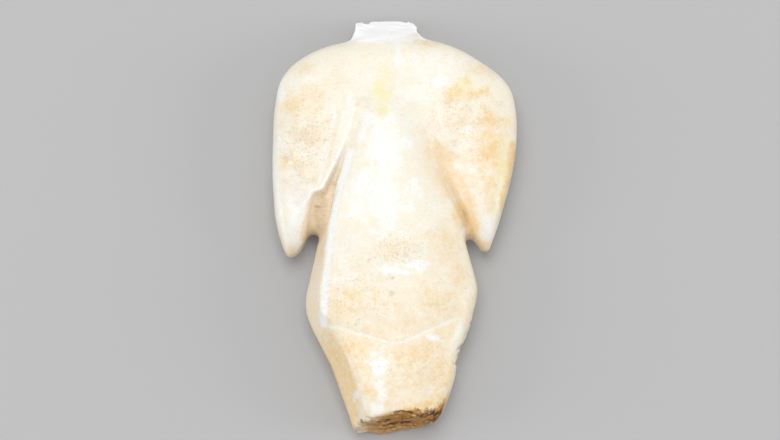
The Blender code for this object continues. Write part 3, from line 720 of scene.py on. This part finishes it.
pale_and_highlight = np.maximum.reduce([
    blots(PALE_AND_HIGHLIGHT_SPOTS), bands(PALE_AND_HIGHLIGHT_BANDS),
    HIP_LINE_PALE_AND_LIGHT * hip_cut, FAINT_LINE_PALE * faint_cut, RIM_HIGHLIGHT * rim_light,
])
pale_and_highlight *= 1 - in_groove

# The brown of the leg break runs a little way up the front in splinters, on its right half, and rust glows
# round it.
NEAR_BREAK_SIDE = (-3.0, 5.0)
SPLINTER_STRETCH = np.array((1.0, 0.35, 1.0))
SPLINTER_SIZE = 0.7 * MM
SPLINTERING = 0.20
FRINGE_CORE = (0.13, 0.25)
FRINGE_LIMIT = (0.02, 0.06)
FRINGE_TURN = (0.4, 0.7)
DARK_SIDE = (2.0, 8.0)
DARKENING = 0.7
GLOW_CORE = (0.01, 0.12)
GLOW_LIMIT = (0.003, 0.03)
GLOW_RAGGED = 0.08
GLOW_RUST = 1.5
near_break = spread(broken, passes=60) * ease(*NEAR_BREAK_SIDE, plan[:, 0])
splintered = mottle(surface * SPLINTER_STRETCH, SPLINTER_SIZE, octaves=3, shift=31.0)
break_fringe = ease(*FRINGE_CORE, near_break + SPLINTERING * splintered)
break_fringe = break_fringe * ease(*FRINGE_LIMIT, near_break) * front
stained_core = np.maximum(stained_core, break_fringe)
layers *= 1 - break_fringe * ease(*FRINGE_TURN, facing[:, 2])
layers -= DARKENING * broken * ease(*DARK_SIDE, plan[:, 0])
break_glow = ease(*GLOW_CORE, near_break + GLOW_RAGGED * ragged)
break_glow = break_glow * ease(*GLOW_LIMIT, near_break) * front
rust_and_shade = np.maximum(rust_and_shade, GLOW_RUST * break_glow)

# Earth sits in the pits and the nicks. The sides and the back, which lay in the soil, have more of it, and
# more rust.
PIT_EARTH = 0.15
NICK_EARTH = 0.35
BACK_RUST = 0.75
BACK_RUST_LUMPS = (-0.15, 0.45)
BACK_RUST_RAGGED = 0.4
BACK_EARTH = 0.5
BACK_EARTH_LUMPS = (0.25, 0.65)
earth = np.maximum.reduce([blots(EARTH_SPOTS), PIT_EARTH * pits, NICK_EARTH * chipped])
unseen = 1 - front
rust_and_shade = np.maximum(rust_and_shade, unseen * BACK_RUST * ease(*BACK_RUST_LUMPS, cloudy + BACK_RUST_RAGGED * ragged))
soiled = mottle(surface, size=4.0 * MM, octaves=4, shift=21.0)
earth = np.maximum(earth, unseen * BACK_EARTH * ease(*BACK_EARTH_LUMPS, soiled))

# The break at the neck is newer and white, pushed near pure white to paint the light on it; the white
# also runs down over the fold at its foot as painted light. Then the finished surface goes into the mesh,
# with its masks.
FRESH_STARTS = (39.8 * MM, 42.4 * MM)
FRESH_RAGGED = 0.9 * MM
FRESH_TURN = (0.3, 0.6)
STAIN_ON_FRESH = 0.8
SPECKLED_GROOVE = 0.4
fresh_and_lit_neck = ease(*FRESH_STARTS, surface[:, 1] + FRESH_RAGGED * ragged)
fresh_and_lit_neck *= ease(*FRESH_TURN, facing @ np.array(NECK_FACE)) * (1 - STAIN_ON_FRESH * neck_stain)
speckled = np.maximum(blots(SPECKLED_SPOTS), SPECKLED_GROOVE * in_groove)
masks = {
    "rust_and_shade": rust_and_shade, "yellow": blots(YELLOW_SPOTS), "pale_and_highlight": pale_and_highlight, "earth": earth, "tan": tan,
    "fresh_and_lit": fresh_and_lit_neck, "speckled": speckled, "broken": broken, "stained": stained_core,
    "layers": 0.5 + 0.5 * layers,
}
stone.vertices.foreach_set("co", surface.ravel())
stone.update()
for name, mask in masks.items():
    stone.attributes.new(name, "FLOAT", "POINT").data.foreach_set("value", mask.astype(np.float32))
for polygon in stone.polygons:
    polygon.use_smooth = True

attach(torso, "root")
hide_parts("marble_torso")

# The marble is ivory with a warm cloud and faint pink and green ones in it. Iron has stained it rust and
# yellow, rubbed places are pale, and earth sits in the pits. The pale colour also carries painted highlights,
# and the tan and some of the rust carry painted shade. The old break at the legs is brown in layers, and the
# newer one at the neck is white, with painted light on it and over the fold at its foot.
IVORY = (0.83, 0.81, 0.72, 1.0)
WARM_IVORY = (0.83, 0.78, 0.65, 1.0)
PINK = (0.82, 0.705, 0.64, 1.0)
SAGE = (0.76, 0.80, 0.66, 1.0)
SHADE = (0.52, 0.45, 0.36, 1.0)
RUST_AND_SHADE = (0.80, 0.55, 0.235, 1.0)
YELLOW = (0.82, 0.76, 0.44, 1.0)
TAN_AND_SHADE = (0.81, 0.62, 0.42, 1.0)
PALE_AND_HIGHLIGHT = (0.84, 0.86, 0.85, 1.0)
EARTH = (0.40, 0.26, 0.14, 1.0)
FRESH_AND_LIT = (0.98, 0.98, 0.98, 1.0)
BREAK_DARK = (0.07, 0.025, 0.006, 1.0)
BREAK_BROWN = (0.45, 0.22, 0.055, 1.0)
BREAK_RIM = (0.53, 0.34, 0.145, 1.0)
BREAK_CRUST = (0.72, 0.50, 0.28, 1.0)

marble = bpy.data.materials.new("weathered_marble")
marble.use_nodes = True
nodes = marble.node_tree.nodes
links = marble.node_tree.links
shader = nodes["Principled BSDF"]
coordinates = nodes.new("ShaderNodeTexCoord")
in_millimetres = nodes.new("ShaderNodeMapping")
in_millimetres.inputs["Scale"].default_value = (1 / MM, 1 / MM, 1 / MM)
links.new(coordinates.outputs["Object"], in_millimetres.inputs["Vector"])


def speckle(size, detail, roughness):
    """A noise with lumps of about the given size in millimetres."""
    texture = nodes.new("ShaderNodeTexNoise")
    texture.inputs["Scale"].default_value = 1 / size
    texture.inputs["Detail"].default_value = detail
    texture.inputs["Roughness"].default_value = roughness
    links.new(in_millimetres.outputs["Vector"], texture.inputs["Vector"])
    return texture.outputs["Fac"]


def mask_of(name):
    attribute = nodes.new("ShaderNodeAttribute")
    attribute.attribute_name = name
    return attribute.outputs["Fac"]


def calculate(operation, *values):
    step = nodes.new("ShaderNodeMath")
    step.operation = operation
    for socket, value in zip(step.inputs, values):
        if isinstance(value, (int, float)):
            socket.default_value = value
        else:
            links.new(value, socket)
    return step.outputs[0]


def times(value, factor):
    return calculate("MULTIPLY", value, factor)


def times_plus(value, factor, rest):
    """A value times a factor, with the rest added."""
    return calculate("MULTIPLY_ADD", value, factor, rest)


def between(value, low, high):
    """Stretches a value from low..high to 0..1, with soft ends."""
    stretch = nodes.new("ShaderNodeMapRange")
    stretch.interpolation_type = "SMOOTHSTEP"
    stretch.inputs["From Min"].default_value = low
    stretch.inputs["From Max"].default_value = high
    links.new(value, stretch.inputs["Value"])
    return stretch.outputs["Result"]


def tint(under, over, share):
    """Lays one colour over another."""
    mix = nodes.new("ShaderNodeMix")
    mix.data_type = "RGBA"
    for socket, value in ((mix.inputs[0], share), (mix.inputs[6], under), (mix.inputs[7], over)):
        if isinstance(value, (tuple, float)):
            socket.default_value = value
        else:
            links.new(value, socket)
    return mix.outputs[2]


# Each noise is given as the size of its lumps in millimetres, its detail and its roughness. A RANGE is the
# part of a noise over which a colour comes in, and a SHARE is how strongly it is laid.
CLOUD = (7.0, 4.0, 0.6)
CLOUD_RANGE = (0.35, 0.68)
PINK_CLOUD = (2.0, 6.0, 0.72)
PINK_RANGE = (0.46, 0.66)
PINK_SHARE = 0.45
SAGE_CLOUD = (2.6, 6.0, 0.70)
SAGE_RANGE = (0.48, 0.68)
SAGE_SHARE = 0.50
MOTTLE = (1.6, 5.0, 0.6)
FINE = (0.45, 3.0, 0.6)
GRAIN = (0.9, 6.0, 0.75)
RUST_LEAST = 0.30
RUST_MOTTLE_RANGE = (0.25, 0.75)
RUST_MOTTLE_SHARE = 0.55
RUST_GRAIN_RANGE = (0.34, 0.68)
RUST_GRAIN_SHARE = 0.50
YELLOW_SHARE = 1.1
PALE_LEAST = 0.65
PALE_RANGE = (0.30, 0.60)
PALE_SHARE = 0.35
SHADE_SPECKS = (0.55, 3.0, 0.7)
SHADE_RANGE = (0.48, 0.70)
SHADE_LEAST = 0.19
SHADE_ON_RUST = 0.16
SHADE_ON_SPECKLED = 0.45
SPECK_RANGE = (0.56, 0.72)
SPECK_LEAST = 0.03
SPECK_ON_RUST = 0.12
SPECK_ON_SPECKLED = 0.25
LAYER_SHARE = 0.6
LAYER_RANGE = (0.50, 1.0)
CRUST_RANGE = (0.51, 0.64)
mottled = speckle(*MOTTLE)
fine = speckle(*FINE)
grain = speckle(*GRAIN)
colour = tint(IVORY, WARM_IVORY, between(speckle(*CLOUD), *CLOUD_RANGE))
colour = tint(colour, PINK, times(between(speckle(*PINK_CLOUD), *PINK_RANGE), PINK_SHARE))
colour = tint(colour, SAGE, times(between(speckle(*SAGE_CLOUD), *SAGE_RANGE), SAGE_SHARE))
colour = tint(colour, TAN_AND_SHADE, mask_of("tan"))
rust_strength = times_plus(between(mottled, *RUST_MOTTLE_RANGE), RUST_MOTTLE_SHARE, RUST_LEAST)
rust_strength = times_plus(between(grain, *RUST_GRAIN_RANGE), RUST_GRAIN_SHARE, rust_strength)
colour = tint(colour, RUST_AND_SHADE, times(mask_of("rust_and_shade"), rust_strength))
colour = tint(colour, YELLOW, times(mask_of("yellow"), YELLOW_SHARE))
pale_and_highlight_strength = times_plus(between(fine, *PALE_RANGE), PALE_SHARE, PALE_LEAST)
colour = tint(colour, PALE_AND_HIGHLIGHT, times(mask_of("pale_and_highlight"), pale_and_highlight_strength))
shade_share = times_plus(mask_of("rust_and_shade"), SHADE_ON_RUST, SHADE_LEAST)
shade_share = times_plus(mask_of("speckled"), SHADE_ON_SPECKLED, shade_share)
colour = tint(colour, SHADE, times(between(speckle(*SHADE_SPECKS), *SHADE_RANGE), shade_share))
speck_share = times_plus(mask_of("rust_and_shade"), SPECK_ON_RUST, SPECK_LEAST)
speck_share = times_plus(mask_of("speckled"), SPECK_ON_SPECKLED, speck_share)
specks = times(between(fine, *SPECK_RANGE), speck_share)
earth_share = calculate("MAXIMUM", mask_of("earth"), specks)
colour = tint(colour, EARTH, earth_share)
colour = tint(colour, FRESH_AND_LIT, mask_of("fresh_and_lit"))
in_layers = between(times_plus(mask_of("layers"), LAYER_SHARE, mottled), *LAYER_RANGE)
on_ridges = times(between(grain, *CRUST_RANGE), in_layers)
colour = tint(colour, BREAK_RIM, mask_of("broken"))
stain = tint(tint(BREAK_DARK, BREAK_BROWN, in_layers), BREAK_CRUST, on_ridges)
colour = tint(colour, stain, mask_of("stained"))
links.new(colour, shader.inputs["Base Color"])

# Worn marble has a low sheen. Earth and both breaks are duller, and the grain is fainter on the fresh break.
WORN_ROUGHNESS = 0.34
WORN_RANGE = (0.3, 0.7)
WORN_SHARE = 0.16
DULLING = 0.35
BUMP_STRENGTH = 0.5
BUMP_DEPTH = 0.05 * MM
FINE_BUMP = 0.6
NECK_CALM = -0.8
dull = calculate("MAXIMUM", mask_of("fresh_and_lit"), calculate("MAXIMUM", mask_of("broken"), earth_share))
worn = times_plus(between(mottled, *WORN_RANGE), WORN_SHARE, WORN_ROUGHNESS)
links.new(times_plus(dull, DULLING, worn), shader.inputs["Roughness"])
bump = nodes.new("ShaderNodeBump")
bump.inputs["Strength"].default_value = BUMP_STRENGTH
bump.inputs["Distance"].default_value = BUMP_DEPTH
calm_neck = times_plus(mask_of("fresh_and_lit"), NECK_CALM, 1.0)
rough_height = times(times_plus(fine, FINE_BUMP, mottled), calm_neck)
links.new(rough_height, bump.inputs["Height"])
links.new(bump.outputs["Normal"], shader.inputs["Normal"])
torso.data.materials.clear()
torso.data.materials.append(marble)


# The studio.
# A plain pale floor, a soft light above the figurine's head and one at each side, and the camera over its
# feet. None of it is part of the object.
FLOOR_SIZE = 3.0
FLOOR_GAP = 0.02 * MM
FLOOR_GREY = (0.45, 0.45, 0.455, 1.0)
FLOOR_ROUGHNESS = 0.9
bpy.ops.mesh.primitive_plane_add(size=FLOOR_SIZE)
floor = bpy.context.object
floor.name = "studio_floor"
for corner in floor.data.vertices:
    corner.co.z = -FLOOR_GAP
floor_paint = bpy.data.materials.new("floor_paint")
floor_paint.use_nodes = True
floor_paint.node_tree.nodes["Principled BSDF"].inputs["Base Color"].default_value = FLOOR_GREY
floor_paint.node_tree.nodes["Principled BSDF"].inputs["Roughness"].default_value = FLOOR_ROUGHNESS
floor.data.materials.append(floor_paint)


def soft_light(name, place, width, watts):
    """A square soft box that points at the figurine. Its place and width are in metres."""
    lamp = bpy.data.lights.new(name, "AREA")
    lamp.size = width
    lamp.energy = watts
    light = bpy.data.objects.new(name, lamp)
    light.location = place
    light.rotation_euler = Vector(place).to_track_quat("Z", "Y").to_euler()
    bpy.context.scene.collection.objects.link(light)


soft_light("high_light", place=(-0.05, 0.14, 0.88), width=0.50, watts=3.3)
soft_light("left_light", place=(-0.80, -0.10, 0.32), width=0.40, watts=1.6)
soft_light("right_light", place=(0.80, -0.15, 0.32), width=0.40, watts=1.9)
AIR_WHITE = (1.0, 1.0, 1.0, 1.0)
AIR_BRIGHTNESS = 0.64
air = bpy.data.worlds.new("studio_air")
air.use_nodes = True
air.node_tree.nodes["Background"].inputs["Color"].default_value = AIR_WHITE
air.node_tree.nodes["Background"].inputs["Strength"].default_value = AIR_BRIGHTNESS
bpy.context.scene.world = air
bpy.context.scene.view_settings.view_transform = "Standard"

# The camera's place comes from the figurine's outline in the photograph, 780 by 440 pixels.
IMAGE_WIDTH, IMAGE_HEIGHT = 780, 440
AIM = Vector((-0.70, -3.5, 8.0)) * MM
AIM_PIXEL = (394.5, 227.0)
AIM_SCALE = 0.2305 * MM
CAMERA_HEIGHT_ANGLE = math.radians(75.0)
CAMERA_TURN = math.radians(-1.7)
CAMERA_DISTANCE = 0.450
CAMERA_CLIP_START = 0.01
lens = bpy.data.cameras.new("photo_camera")
camera = bpy.data.objects.new("photo_camera", lens)
bpy.context.scene.collection.objects.link(camera)
level = math.cos(CAMERA_HEIGHT_ANGLE)
away = Vector((math.sin(CAMERA_TURN) * level, -math.cos(CAMERA_TURN) * level, math.sin(CAMERA_HEIGHT_ANGLE)))
camera.location = AIM + away * CAMERA_DISTANCE
camera.rotation_euler = away.to_track_quat("Z", "Y").to_euler()
lens.lens = CAMERA_DISTANCE / AIM_SCALE * lens.sensor_width / IMAGE_WIDTH
lens.shift_x = (IMAGE_WIDTH / 2 - AIM_PIXEL[0]) / IMAGE_WIDTH
lens.shift_y = (AIM_PIXEL[1] - IMAGE_HEIGHT / 2) / IMAGE_WIDTH
lens.clip_start = CAMERA_CLIP_START
bpy.context.scene.camera = camera
